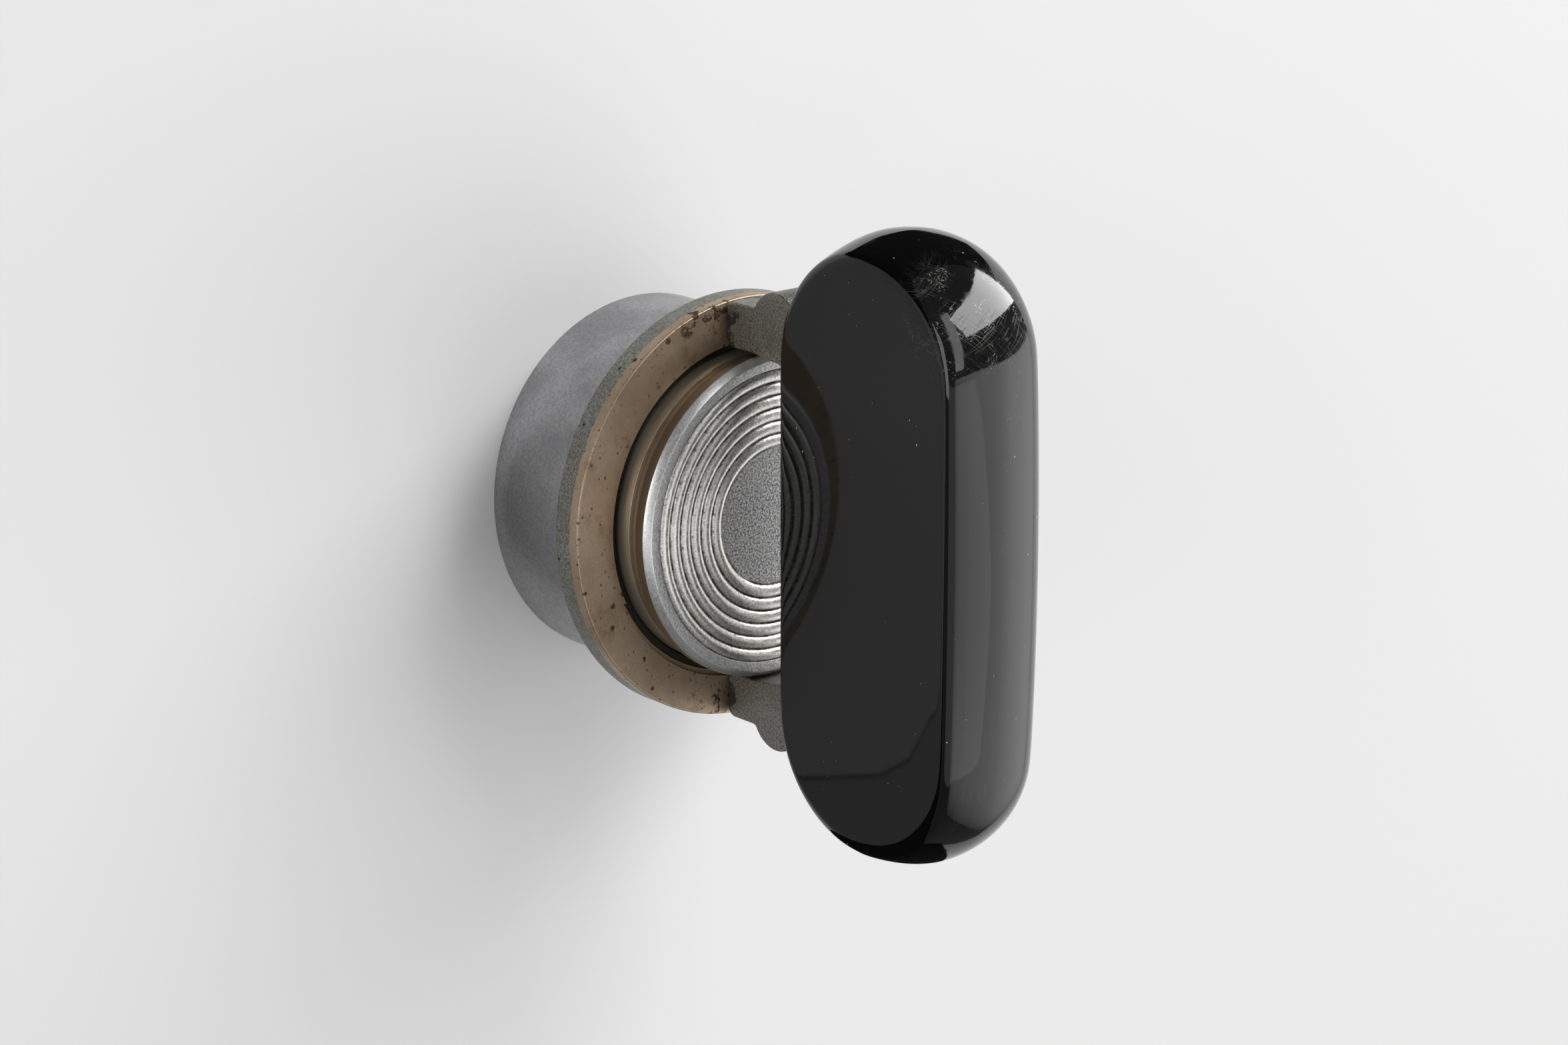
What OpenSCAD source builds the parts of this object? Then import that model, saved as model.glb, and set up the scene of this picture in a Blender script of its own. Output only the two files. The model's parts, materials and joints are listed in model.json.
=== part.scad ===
// Fold-out winding key: a moulded grip hinged on a rotating fork, with a ringed dial,
// an arbor in a bush, and a ratchet and click in a round housing.
// Frame: origin at the centre of the mounting face, +Z out along the winding axis,
// Y along the hinge, the grip's flat face towards -X. All sizes are in millimetres.

/* [Dial and drum] */
// Radius of the ringed dial over its chamfer
dial_r = 11; // [9.1:0.1:13.5]
// Height of the dial's rim above the mounting face
rim_z = 14; // [13:0.1:17]
// Thickness of the dial's edge
dial_edge_t = 0.8; // [0.6:0.05:1.2]
// Width of the chamfer round the dial
dial_chamfer = 0.43; // [0.2:0.01:0.6]
// Width of the flat ring inside the chamfer
dial_annulus = 0.65; // [0.4:0.05:1]
// Number of raised beads
bead_count = 6; // [4:1:8]
// Distance from one bead to the next
bead_pitch = 0.87; // [0.7:0.01:1]
// Radius of a bead's round back
bead_r = 0.5; // [0.44:0.01:0.7]
// Height of the beads above the rim
bead_rise = 0.55; // [0.4:0.05:0.8]
// Height of the dial's centre above the rim
centre_rise = 0.3; // [0.2:0.05:0.5]
// How far the dial overhangs the drum
dial_overhang = 0.35; // [0.2:0.05:0.6]
// Wall of the drum
drum_wall = 0.9; // [0.7:0.05:1.5]
// Width of the fine groove turned round the drum
drum_groove_w = 0.14; // [0.1:0.02:0.3]

/* [Ring plate and fork] */
// Depth of the ring plate's top below the dial's rim
plate_depth = 2.7; // [2.2:0.1:3.5]
// Thickness of the ring plate
plate_t = 0.8; // [0.6:0.1:1.2]
// Open gap between the drum and the ring plate
plate_gap = 0.6; // [0.5:0.05:0.9]
// Extra gap along the relieved stretch of the ring plate's inner edge
plate_relief = 0.35; // [0.1:0.05:0.5]
// Thickness of the fork's round base
carrier_t = 1.5; // [1.2:0.1:2.5]
// Gap between the dial and the fork's posts
dial_gap = 0.15; // [0.1:0.05:0.4]
// Width of a post along the hinge
post_w = 3.1; // [2.6:0.1:4]
// Thickness of a post
post_t = 4.4; // [3.6:0.1:5.4]
// Distance of the posts' front faces in front of the winding axis
post_front = 1.7; // [1.4:0.1:2.2]
// Radius of the round ear on a post
ear_r = 2.3; // [1.9:0.05:2.8]
// Height of the ear's centre above the dial's rim
ear_rise = 2.2; // [1.6:0.1:3]
// Height of the hinge above the dial's rim
hinge_rise = 7.2; // [6.9:0.1:9]

/* [Grip] */
// Length of the grip along the hinge
grip_length = 41.8; // [34:0.2:50.4]
// Height of the grip from its hinge edge to the middle of its bowed outer edge
grip_height = 17.7; // [14.7:0.1:21.3]
// Thickness of the grip
grip_t = 9.6; // [8:0.1:10]
// Distance of the flat face in front of the posts
face_wall = 1.3; // [1:0.1:1.8]
// Gap between the dial's rim and the grip's hinge edge
grip_lift = 3.8; // [3.2:0.1:4.4]
// Radius of the grip's corners, seen on the flat face
corner_r = 8.2; // [6.6:0.1:8.6]
// How far the outer edge bows up at its middle
crown = 0.9; // [0.4:0.1:1.2]
// How far the flat face stops short of the grip's ends
end_swell = 1.1; // [0.8:0.1:2]
// Edge radius round the flat face
face_edge_r = 0.7; // [0.5:0.1:1.2]
// Edge radius round the back
back_edge_r = 3.9; // [3:0.1:4]

/* [Hinge] */
// Radius of the hinge pins
pin_r = 0.9; // [0.7:0.05:1.1]
// Depth of a hinge pin in the block
pin_grip = 2.6; // [2:0.1:3]
// Gap that each hinge washer sits in
washer_gap = 0.45; // [0.35:0.05:0.7]
// Thickness of a hinge washer
washer_t = 0.3; // [0.2:0.05:0.4]
// Distance of each grip screw from the middle
grip_screw_y = 6.1; // [4:0.1:6.2]
// Shank radius of the grip screws
grip_screw_r = 1; // [0.8:0.1:1.2]
// Head radius of the grip screws
grip_screw_head_r = 1.6; // [1.4:0.1:1.7]
// Length of the grip screws' thread in the grip
grip_screw_bite = 5; // [3:0.5:7]

/* [Housing] */
// Wall of the housing round the ratchet
housing_wall = 2; // [1.6:0.1:2.4]
// Room between the click's hub and the housing's wall
click_room = 0.6; // [0.4:0.1:1]
// Thickness of the housing's floor
floor_t = 2.4; // [2.2:0.1:3]
// Gap between the housing's rim and the turning fork
rim_gap = 0.4; // [0.3:0.05:0.8]
// Thickness of the housing's cover
cover_t = 0.8; // [0.7:0.1:1]
// Radius of the circle through the mounting holes
mount_circle_r = 7; // [6.6:0.1:7.4]
// Radius of the mounting holes
mount_hole_r = 0.8; // [0.6:0.05:1]
// Depth of the mounting holes
mount_hole_depth = 2; // [1.5:0.1:2.1]

/* [Arbor and ratchet] */
// Radius of the arbor's journal
journal_r = 2.4; // [2:0.05:2.9]
// Width across the flats of the arbor's squares
square_w = 5; // [4.2:0.1:5.4]
// Radius of the arbor's collar
collar_r = 3.9; // [3.8:0.1:4.6]
// Width of the drive socket in the arbor's lower end
socket_w = 2.2; // [1.8:0.1:2.4]
// Depth of the drive socket
socket_depth = 3; // [2:0.5:4]
// Number of ratchet teeth, a multiple of four
tooth_count = 24; // [20:4:28]
// Radius over the ratchet's tooth tips
tooth_tip_r = 6.1; // [5.1:0.05:7.4]
// Depth of a ratchet tooth
tooth_depth = 1.1; // [0.9:0.05:1.2]
// Thickness of the ratchet wheel
wheel_t = 1.6; // [1.2:0.1:2]

/* [Clearances] */
// Radial clearance of a running fit
running = 0.03; // [0.02:0.01:0.08]
// Clearance between flat faces that turn past each other
face_play = 0.1; // [0.08:0.02:0.2]
// Clearance of the grip round the posts
swing_gap = 0.15; // [0.12:0.01:0.3]
// Clearance of the ring plate round the posts' stems
slot_gap = 0.1; // [0.05:0.05:0.2]

/* [Hidden] */
$fn = 96;
eps = 0.01;

// Heights, from the mounting face up
drum_top_z = rim_z - dial_edge_t;
plate_top_z = rim_z - plate_depth;
carrier_top_z = plate_top_z - plate_t;
carrier_z = carrier_top_z - carrier_t;
housing_top_z = carrier_z - rim_gap;
cover_z = housing_top_z - cover_t - 0.1;

// Radii round the winding axis
drum_r = dial_r - dial_overhang;
plate_inner_r = drum_r + plate_gap;
shoulder_h = plate_t / 2;
post_inner_y = dial_r + dial_gap;
post_outer_y = post_inner_y + post_w;
carrier_r = post_outer_y;
head_inner_y = post_inner_y - 0.42;

// Posts of the fork
post_back = post_t - post_front;
hinge_x = (post_back - post_front) / 2;
hinge_z = rim_z + hinge_rise;
ear_y = post_outer_y - 1;
ear_z = rim_z + ear_rise;
leg_corner_r = 0.6;
leg_z = plate_top_z + face_play;
stem_front = post_front - 0.8;
stem_inner_y = post_inner_y + 0.6;
stem_w = 1.75;

// Grip
grip_z = rim_z + grip_lift;
grip_top_z = grip_z + grip_height;
face_x = -post_front - face_wall;
back_x = face_x + grip_t;
arch_x = face_x + 0.4 * grip_t;
face_drop = 0.7;
back_swell = 0.6;
back_drop = 0.6;
arch_r = 3.2;
slot_inner_y = head_inner_y - 0.25;
slot_outer_y = ear_y + ear_r + 0.25;
slot_reach = 30;

// Block between the posts
block_half_y = head_inner_y - washer_gap;
block_half_x = post_t / 2 - 0.1;
block_z = grip_z + 0.2;
block_top_z = hinge_z + block_half_x;
grip_head_h = 1.4;

// Arbor stack
bush_r = journal_r + 1.6;
bush_flange_r = bush_r + 1;
bush_flange_t = 0.8;
clip_recess_r = bush_r + 1.3;
clip_recess_h = 1.3;
boss_h = 1;
bush_top_z = floor_t + boss_h + bush_flange_t;
thrust_t = 0.5;
wheel_z = bush_top_z + thrust_t + face_play;
wheel_top_z = wheel_z + wheel_t;
arbor_z = 0.4;
clip_z = 0.6;
clip_t = 0.5;
clip_groove = 0.4;
arbor_top_z = carrier_top_z - 0.1;
lock_washer_t = 0.5;
fork_screw_r = 1.25;
fork_screw_head_h = 1.5;
fork_screw_head_r = 2.6;

// Ratchet and click
click_r = tooth_tip_r + 2.2;
click_angle = 150;
click_x = click_r * cos(click_angle);
click_y = click_r * sin(click_angle);
click_hub_r = 1.5;
click_pin_r = 0.9;
click_z = wheel_z + 0.1;
click_t = wheel_t - 0.2;
tooth_angle = 106;
tooth_pitch = 360 / tooth_count;
tooth_root_r = tooth_tip_r - tooth_depth;
arm_end_r = tooth_tip_r + 0.9;
arm_end_angle = tooth_angle + 6;
arm_tip_r = 0.5;

// Click spring
spring_angle = 58;
spring_x = (tooth_tip_r + 2.6) * cos(spring_angle);
spring_y = (tooth_tip_r + 2.6) * sin(spring_angle);
spring_eye_r = 1.4;
spring_screw_r = 0.8;
leaf_t = 0.3;
leaf_h = click_t - 0.2;
leaf_start_y = spring_y + spring_eye_r - leaf_t / 2;
leaf_end_x = -3.2;
leaf_end_y = arm_end_r * sin(arm_end_angle) + arm_tip_r + 0.09;

// Cover screws
cover_screw_angles = [10, 185, 270];
cover_screw_r = 0.75;
cover_head_r = 1.35;
cover_boss_r = 1.4;
ledge_r = click_r + click_hub_r + click_room;
housing_r = ledge_r + housing_wall;
cover_r = ledge_r + 0.8;
cover_screw_circle = ledge_r - 1.2;

// Drum screws
drum_screw_angles = [30, 150, 270];
drum_screw_r = 0.75;
drum_head_r = 1.3;
drum_head_h = 0.9;
drum_flange_t = 0.9;
drum_bore_r = drum_r - drum_wall;
drum_screw_circle = drum_bore_r - drum_head_r - 0.45;
drum_flange_r = drum_screw_circle - drum_head_r - 0.1;

function polar(r, a) = [r * cos(a), r * sin(a)];

// A ring of round section whose axis lies along X, centred on y, z
module edge_ring(x, y, z, ring_r, section_r) {
    translate([x, y, z]) rotate([0, 90, 0]) rotate_extrude($fn = 40)
        translate([ring_r - section_r, 0]) circle(r = section_r, $fn = 20);
}

// Four rings at the corners of the grip's outline, inset at its ends and its outer edge
module outline_corners(x, inset_y, inset_z, section_r) {
    top_z = grip_top_z - crown - inset_z;
    ring_r = min(corner_r - inset_z / 2, (top_z - grip_z) / 2);
    for (side = [-1, 1], z = [grip_z + ring_r, top_z - ring_r])
        edge_ring(x, side * (grip_length / 2 - inset_y - ring_r), z, ring_r, min(section_r, ring_r / 2));
}

// A round bar inside the middle of the grip's outer edge, which makes the edge bow up
module crown_bar(x, drop, section_r) {
    translate([x, -grip_length / 7, grip_top_z - drop - section_r]) rotate([-90, 0, 0])
        cylinder(r = section_r, h = grip_length / 3.5, $fn = 40);
}

module grip_form() {
    hull() {
        outline_corners(face_x + face_edge_r, end_swell, face_drop, face_edge_r);
        outline_corners(arch_x, 0, 0, arch_r);
        outline_corners(back_x - back_edge_r, back_swell, back_drop, back_edge_r);
        crown_bar(arch_x - 0.6, 0, arch_r);
        crown_bar(back_x - back_edge_r, back_drop, back_edge_r);
    }
}

// Space that a post sweeps in the grip as the key folds a quarter turn
module swing_slot() {
    front = -post_front - swing_gap;
    round_r = post_t / 2 + swing_gap;
    translate([front, slot_inner_y, rim_z - slot_reach])
        cube([slot_reach, slot_outer_y - slot_inner_y, slot_reach + hinge_rise]);
    translate([hinge_x, slot_inner_y, hinge_z]) rotate([-90, 0, 0])
        cylinder(r = round_r, h = slot_outer_y - slot_inner_y);
    translate([hinge_x, slot_inner_y, hinge_z - eps])
        cube([slot_reach, slot_outer_y - slot_inner_y, round_r + eps]);
}

// One grip screw, standing on its head
module grip_screw_form(extra) {
    translate([hinge_x, 0, block_z - extra])
        cylinder(r = grip_screw_head_r + extra, h = grip_head_h + extra);
    translate([hinge_x, 0, block_z])
        cylinder(r = grip_screw_r + extra, h = block_top_z + grip_screw_bite - block_z);
}

module grip() {
    color("#1b1b1c") difference() {
        grip_form();
        for (side = [0, 1]) mirror([0, side, 0]) swing_slot();
        translate([hinge_x - block_half_x - 0.05, -slot_inner_y - eps, grip_z - 1])
            cube([2 * block_half_x + 0.1, 2 * slot_inner_y + 2 * eps, block_top_z + 0.05 - grip_z + 1]);
        for (side = [-1, 1]) translate([hinge_x, side * grip_screw_y, grip_z])
            cylinder(r = grip_screw_r + 0.02, h = block_top_z + grip_screw_bite + 0.2 - grip_z);
    }
}

module hinge_block() {
    color("#8d8f90") difference() {
        translate([hinge_x - block_half_x, -block_half_y, block_z])
            cube([2 * block_half_x, 2 * block_half_y, block_top_z - block_z]);
        for (side = [-1, 1]) {
            translate([hinge_x, side * (block_half_y + eps), hinge_z]) rotate([side * 90, 0, 0])
                cylinder(r = pin_r, h = pin_grip + eps);
            translate([0, side * grip_screw_y, 0]) grip_screw_form(0.05);
        }
    }
}

module grip_screws() {
    slot_depth = 0.6;
    color("#a5a6a4") for (side = [-1, 1]) translate([0, side * grip_screw_y, 0]) difference() {
        grip_screw_form(0);
        translate([hinge_x - 0.25, -grip_screw_head_r - eps, block_z - eps])
            cube([0.5, 2 * grip_screw_head_r + 2 * eps, slot_depth]);
    }
}

module hinge_pins() {
    length = post_outer_y - block_half_y + pin_grip - 0.1;
    color("#c4c5c3") for (side = [-1, 1])
        translate([hinge_x, side * (block_half_y - pin_grip), hinge_z]) rotate([-side * 90, 0, 0])
            cylinder(r = pin_r, h = length);
}

module hinge_washers() {
    color("#b9a36a") for (side = [-1, 1])
        translate([hinge_x, side * block_half_y, hinge_z]) rotate([-side * 90, 0, 0]) difference() {
            cylinder(r = post_t / 2 - 0.3, h = washer_t);
            translate([0, 0, -eps]) cylinder(r = pin_r + running, h = washer_t + 2 * eps);
        }
}

// Front view of a post, drawn with its length along X and its height along Y
module post_profile() {
    translate([post_inner_y, leg_z + leg_corner_r])
        square([post_w, ear_z - leg_z - leg_corner_r]);
    translate([post_inner_y + leg_corner_r, leg_z])
        square([post_w - 2 * leg_corner_r, leg_corner_r]);
    for (y = [post_inner_y + leg_corner_r, post_outer_y - leg_corner_r])
        translate([y, leg_z + leg_corner_r]) circle(r = leg_corner_r);
    translate([ear_y, ear_z]) circle(r = ear_r);
    polygon([[post_inner_y, rim_z], [post_outer_y, rim_z],
        [post_outer_y, hinge_z + post_t / 2], [head_inner_y, hinge_z + post_t / 2],
        [head_inner_y, rim_z + grip_lift]]);
}

module fork_post() {
    difference() {
        translate([post_back, 0, 0]) rotate([90, 0, -90]) mirror([1, 0, 0])
            linear_extrude(post_t) post_profile();
        difference() {
            translate([-post_front - 1, 0, hinge_z])
                cube([post_t + 2, slot_outer_y, post_t]);
            translate([hinge_x, -1, hinge_z]) rotate([-90, 0, 0])
                cylinder(r = post_t / 2, h = slot_outer_y + 2);
        }
        translate([hinge_x, 0, hinge_z]) rotate([-90, 0, 0])
            cylinder(r = pin_r + running, h = slot_outer_y);
    }
    translate([-stem_front, stem_inner_y, carrier_z + 0.5])
        cube([stem_front + post_back, stem_w, leg_z - carrier_z]);
}

module key_fork() {
    color("#8a8981") difference() {
        union() {
            translate([0, 0, carrier_z]) cylinder(r = carrier_r, h = carrier_t);
            translate([0, 0, carrier_top_z - eps]) difference() {
                cylinder(r = plate_inner_r - 0.02, h = shoulder_h + eps);
                translate([0, 0, -eps]) cylinder(r = drum_r + 0.1, h = shoulder_h + 3 * eps);
            }
            for (side = [0, 1]) mirror([0, side, 0]) fork_post();
        }
        translate([-square_w / 2 - 0.01, -square_w / 2 - 0.01, carrier_z - 1])
            cube([square_w + 0.02, square_w + 0.02, carrier_t + 2]);
        for (a = drum_screw_angles) rotate(a) translate([drum_screw_circle, 0, carrier_z + 0.3])
            cylinder(r = drum_screw_r, h = carrier_t);
    }
}

module ring_plate() {
    relief_start = 205;
    relief_end = 263;
    color("#a08c7d") translate([0, 0, carrier_top_z]) difference() {
        cylinder(r = carrier_r, h = plate_t);
        translate([0, 0, -eps]) cylinder(r = plate_inner_r, h = plate_t + 2 * eps);
        translate([0, 0, shoulder_h + 0.05]) rotate(relief_start)
            rotate_extrude(angle = relief_end - relief_start)
                translate([plate_inner_r - 1, 0]) square([1 + plate_relief, plate_t]);
        for (side = [-1, 1])
            translate([-stem_front - slot_gap, side * (stem_inner_y + stem_w / 2) - stem_w / 2 - slot_gap, -eps])
                cube([stem_front + post_back + 2 * slot_gap, stem_w + 2 * slot_gap, plate_t + 2 * eps]);
    }
}

module drum_ring() {
    height = drum_top_z - carrier_top_z;
    groove_z = height - 1.05;
    color("#7d6c5e") translate([0, 0, carrier_top_z]) difference() {
        cylinder(r = drum_r, h = height);
        translate([0, 0, drum_flange_t]) cylinder(r = drum_bore_r, h = height);
        translate([0, 0, -eps]) cylinder(r = drum_flange_r, h = height);
        translate([0, 0, groove_z]) difference() {
            cylinder(r = drum_r + 1, h = drum_groove_w);
            translate([0, 0, -eps]) cylinder(r = drum_r - 0.1, h = drum_groove_w + 2 * eps);
        }
        for (a = drum_screw_angles) rotate(a) translate([drum_screw_circle, 0, -eps])
            cylinder(r = drum_screw_r + 0.05, h = drum_flange_t + 2 * eps);
    }
}

module slotted_head(r, h, slot_w, slot_depth) {
    difference() {
        cylinder(r = r, h = h);
        translate([-r - 1, -slot_w / 2, h - slot_depth]) cube([2 * r + 2, slot_w, slot_depth + 1]);
    }
}

module drum_screws() {
    color("#b0b0ad") for (a = drum_screw_angles) rotate(a)
        translate([drum_screw_circle, 0, carrier_top_z + drum_flange_t]) {
            slotted_head(drum_head_r, drum_head_h, 0.35, 0.4);
            translate([0, 0, -drum_flange_t - 1]) cylinder(r = drum_screw_r, h = drum_flange_t + 1);
        }
}

module ringed_dial() {
    annulus_r = dial_r - dial_chamfer;
    bead_outer_r = annulus_r - dial_annulus;
    first_bead_r = bead_outer_r - (bead_count - 0.5) * bead_pitch;
    flat_z = rim_z + 0.42;
    bead_z = rim_z + bead_rise - bead_r;
    skirt_r = drum_bore_r - 0.02;
    skirt_h = 0.7;
    color("#b9babb") rotate_extrude() {
        polygon([[0, drum_top_z], [dial_r, drum_top_z], [dial_r, rim_z], [annulus_r, flat_z],
            [bead_outer_r, flat_z], [bead_outer_r, rim_z + 0.2],
            [first_bead_r - bead_pitch / 2, rim_z + 0.2],
            [first_bead_r - bead_pitch / 2 - 0.12, rim_z + centre_rise], [0, rim_z + centre_rise]]);
        for (i = [0:bead_count - 1])
            translate([first_bead_r + i * bead_pitch, bead_z]) circle(r = bead_r, $fn = 48);
        translate([skirt_r - 0.9, drum_top_z - skirt_h]) square([0.9, skirt_h + eps]);
    }
}

module fork_screw() {
    head_z = carrier_top_z + lock_washer_t;
    color("#b0b0ad") {
        translate([0, 0, head_z]) slotted_head(fork_screw_head_r, fork_screw_head_h, 0.6, 0.7);
        translate([0, 0, head_z - 4.5]) cylinder(r = fork_screw_r, h = 4.5);
    }
}

module lock_washer() {
    outer_r = fork_screw_head_r + 0.9;
    color("#9b9a94") translate([0, 0, carrier_top_z]) difference() {
        cylinder(r = outer_r, h = lock_washer_t);
        translate([0, 0, -eps]) cylinder(r = fork_screw_r + 0.1, h = lock_washer_t + 2 * eps);
    }
}

module winding_arbor() {
    color("#a9a8a3") difference() {
        union() {
            translate([0, 0, arbor_z]) cylinder(r = journal_r, h = wheel_z - arbor_z);
            translate([-square_w / 2, -square_w / 2, wheel_z])
                cube([square_w, square_w, arbor_top_z - wheel_z]);
            translate([0, 0, wheel_top_z]) cylinder(r = collar_r, h = carrier_z - wheel_top_z);
        }
        translate([0, 0, carrier_top_z - 5]) cylinder(r = fork_screw_r, h = 6);
        translate([-socket_w / 2, -socket_w / 2, arbor_z - 1]) cube([socket_w, socket_w, socket_depth + 1]);
        translate([0, 0, clip_z]) difference() {
            cylinder(r = journal_r + 1, h = clip_t);
            translate([0, 0, -eps]) cylinder(r = journal_r - clip_groove, h = clip_t + 2 * eps);
        }
    }
}

module ratchet_wheel() {
    points = [for (i = [0:tooth_count - 1]) for (r = [tooth_tip_r, tooth_root_r])
        polar(r, tooth_angle + i * tooth_pitch)];
    color("#9c8f5e") translate([0, 0, wheel_z]) difference() {
        linear_extrude(wheel_t) polygon(points);
        translate([-square_w / 2 - 0.01, -square_w / 2 - 0.01, -1])
            cube([square_w + 0.02, square_w + 0.02, wheel_t + 2]);
    }
}

module retaining_ring() {
    inner_r = journal_r - clip_groove;
    color("#5c5d5f") translate([0, 0, clip_z]) difference() {
        cylinder(r = bush_r + 0.4, h = clip_t);
        translate([0, 0, -eps]) cylinder(r = inner_r, h = clip_t + 2 * eps);
        translate([0, -inner_r * 0.8, -eps]) cube([bush_r + 2, inner_r * 1.6, clip_t + 2 * eps]);
    }
}

module thrust_washer() {
    color("#b9a36a") translate([0, 0, bush_top_z]) difference() {
        cylinder(r = bush_flange_r, h = thrust_t);
        translate([0, 0, -eps]) cylinder(r = journal_r + 0.1, h = thrust_t + 2 * eps);
    }
}

module bearing_bush() {
    color("#b08d4a") difference() {
        union() {
            translate([0, 0, clip_recess_h]) cylinder(r = bush_r, h = bush_top_z - clip_recess_h);
            translate([0, 0, bush_top_z - bush_flange_t]) cylinder(r = bush_flange_r, h = bush_flange_t);
        }
        translate([0, 0, -1]) cylinder(r = journal_r + running, h = bush_top_z + 2);
    }
}

module housing() {
    color("#6f7072") difference() {
        union() {
            difference() {
                cylinder(r = housing_r, h = housing_top_z);
                translate([0, 0, floor_t]) cylinder(r = ledge_r, h = housing_top_z);
                translate([0, 0, cover_z]) cylinder(r = cover_r, h = housing_top_z);
            }
            cylinder(r = bush_flange_r + 0.8, h = floor_t + boss_h);
            translate([click_x, click_y, 0]) cylinder(r = click_hub_r, h = click_z - face_play);
            translate([spring_x, spring_y, 0]) cylinder(r = spring_eye_r, h = click_z);
            intersection() {
                for (a = cover_screw_angles) rotate(a) translate([cover_screw_circle, 0, 0])
                    cylinder(r = cover_boss_r, h = cover_z);
                cylinder(r = housing_r - 0.5, h = cover_z);
            }
        }
        translate([0, 0, -1]) cylinder(r = clip_recess_r, h = clip_recess_h + 1);
        cylinder(r = bush_r, h = housing_top_z);
        translate([click_x, click_y, 1]) cylinder(r = click_pin_r, h = housing_top_z);
        translate([spring_x, spring_y, 1]) cylinder(r = spring_screw_r, h = housing_top_z);
        for (a = cover_screw_angles) rotate(a) translate([cover_screw_circle, 0, floor_t])
            cylinder(r = cover_screw_r, h = housing_top_z);
        for (a = [90, 210, 330]) rotate(a) translate([mount_circle_r, 0, -1])
            cylinder(r = mount_hole_r, h = mount_hole_depth + 1);
    }
}

module housing_cover() {
    color("#8f8f8c") translate([0, 0, cover_z]) difference() {
        cylinder(r = cover_r - 0.05, h = cover_t);
        translate([0, 0, -eps]) cylinder(r = collar_r + 0.3, h = cover_t + 2 * eps);
        for (a = cover_screw_angles) rotate(a) translate([cover_screw_circle, 0, 0]) {
            translate([0, 0, -eps]) cylinder(r = cover_screw_r + 0.05, h = cover_t + 2 * eps);
            translate([0, 0, cover_t - (cover_head_r - cover_screw_r)])
                cylinder(r1 = cover_screw_r + 0.03, r2 = cover_head_r + 0.04, h = cover_head_r - cover_screw_r + eps);
        }
    }
}

module cover_screws() {
    head_h = cover_head_r - cover_screw_r;
    color("#b0b0ad") for (a = cover_screw_angles) rotate(a)
        translate([cover_screw_circle, 0, cover_z + cover_t]) difference() {
            union() {
                translate([0, 0, -head_h]) cylinder(r1 = cover_screw_r, r2 = cover_head_r, h = head_h);
                translate([0, 0, -cover_t - 3]) cylinder(r = cover_screw_r, h = cover_t + 3 - head_h + eps);
            }
            translate([-cover_head_r - 1, -0.175, -0.35]) cube([2 * cover_head_r + 2, 0.35, 1]);
        }
}

module click() {
    arm_end = polar(arm_end_r, arm_end_angle);
    nose = [polar(tooth_tip_r - 0.65, tooth_angle + 1.6), polar(tooth_tip_r + 0.6, tooth_angle + 1.3),
        polar(tooth_tip_r + 0.9, arm_end_angle), polar(tooth_tip_r + 0.6, arm_end_angle + 4),
        polar(tooth_tip_r - 0.3, tooth_angle + 6)];
    color("#a5a6a4") translate([0, 0, click_z]) difference() {
        union() {
            hull() {
                translate([click_x, click_y, 0]) cylinder(r = click_hub_r, h = click_t, $fn = 32);
                translate([arm_end[0], arm_end[1], 0]) cylinder(r = arm_tip_r, h = click_t, $fn = 32);
            }
            linear_extrude(click_t) polygon(nose);
        }
        translate([click_x, click_y, -1]) cylinder(r = click_pin_r + running, h = click_t + 2);
    }
}

module click_screw() {
    head_z = click_z + click_t + face_play;
    color("#b0b0ad") translate([click_x, click_y, 0]) {
        translate([0, 0, 1.2]) cylinder(r = click_pin_r, h = head_z - 1.2 + eps);
        translate([0, 0, head_z]) slotted_head(click_hub_r, 0.6, 0.35, 0.3);
    }
}

module click_spring() {
    run_x = leaf_end_x - spring_x;
    run_y = leaf_end_y - leaf_start_y;
    color("#5a6068") translate([0, 0, click_z + 0.1]) difference() {
        union() {
            translate([spring_x, spring_y, -0.1]) cylinder(r = spring_eye_r, h = leaf_h + 0.1);
            translate([spring_x, leaf_start_y, 0]) rotate(atan2(run_y, run_x))
                translate([0, -leaf_t / 2, 0]) cube([norm([run_x, run_y]), leaf_t, leaf_h]);
        }
        translate([spring_x, spring_y, -1]) cylinder(r = spring_screw_r + 0.05, h = leaf_h + 2);
    }
}

module spring_screw() {
    head_z = click_z + 0.1 + leaf_h;
    color("#b0b0ad") translate([spring_x, spring_y, 0]) {
        translate([0, 0, 1.2]) cylinder(r = spring_screw_r, h = head_z - 1.2 + eps);
        translate([0, 0, head_z]) slotted_head(spring_eye_r, 0.6, 0.35, 0.3);
    }
}

grip();
hinge_block();
grip_screws();
hinge_pins();
hinge_washers();
key_fork();
ring_plate();
drum_ring();
drum_screws();
ringed_dial();
fork_screw();
lock_washer();
winding_arbor();
ratchet_wheel();
retaining_ring();
thrust_washer();
bearing_bush();
housing();
housing_cover();
cover_screws();
click();
click_screw();
click_spring();
spring_screw();
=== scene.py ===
"""Looks for the fold-out winding key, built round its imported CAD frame.

Shapes are worked out in millimetres, and finish_mesh turns each into an object in metres.
"""
import json
import math

import bmesh
import bpy
from mathutils import Matrix, Vector


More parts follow.
